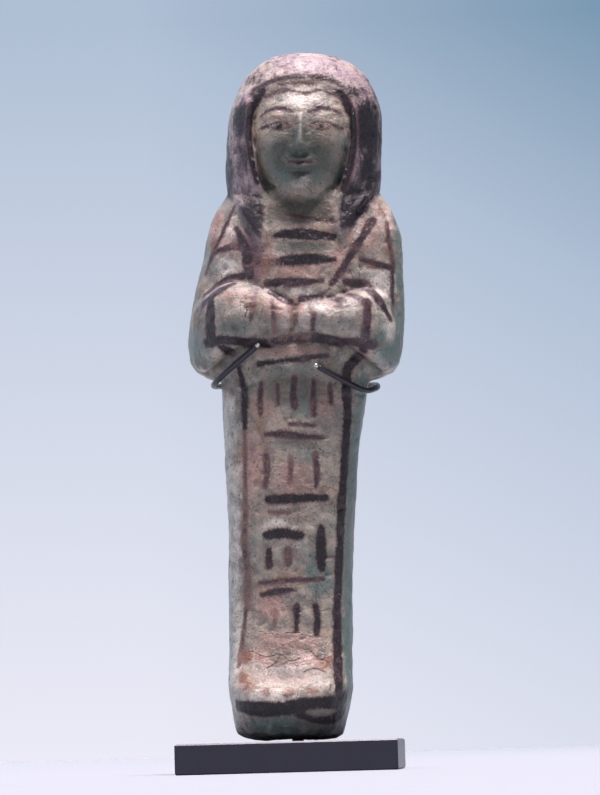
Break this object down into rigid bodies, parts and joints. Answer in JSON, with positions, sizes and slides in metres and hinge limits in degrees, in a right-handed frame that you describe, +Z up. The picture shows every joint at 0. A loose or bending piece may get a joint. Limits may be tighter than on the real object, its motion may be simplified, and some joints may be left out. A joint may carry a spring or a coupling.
{
  "type": "ushabti figurine",
  "caption": "Mummiform glazed funerary figurine with wig, folded forearms and projecting feet, held upright by a wire cradle on a flat dark block.",
  "frame": {"origin": "centre of the block's underside, on the surface that it stands on", "axes": "+Z up, the figure faces -Y, +X is to the right of someone facing it"},
  "size_m": [0.0388, 0.036, 0.1202],
  "materials": {
    "glazed_faience": "worn pale grey-green glaze stained pink and brown, with dark purple-black painted lines",
    "sleeved_wire": "thin wire in a dark satin sleeve, with bright cut tips",
    "dark_block": "near-black satin sheet with eased edges"
  },
  "bodies": {
    "root": {"ushabti": "glazed_faience", "wire_cradle": "sleeved_wire", "mount_block": "dark_block"}
  },
  "joints": []
}
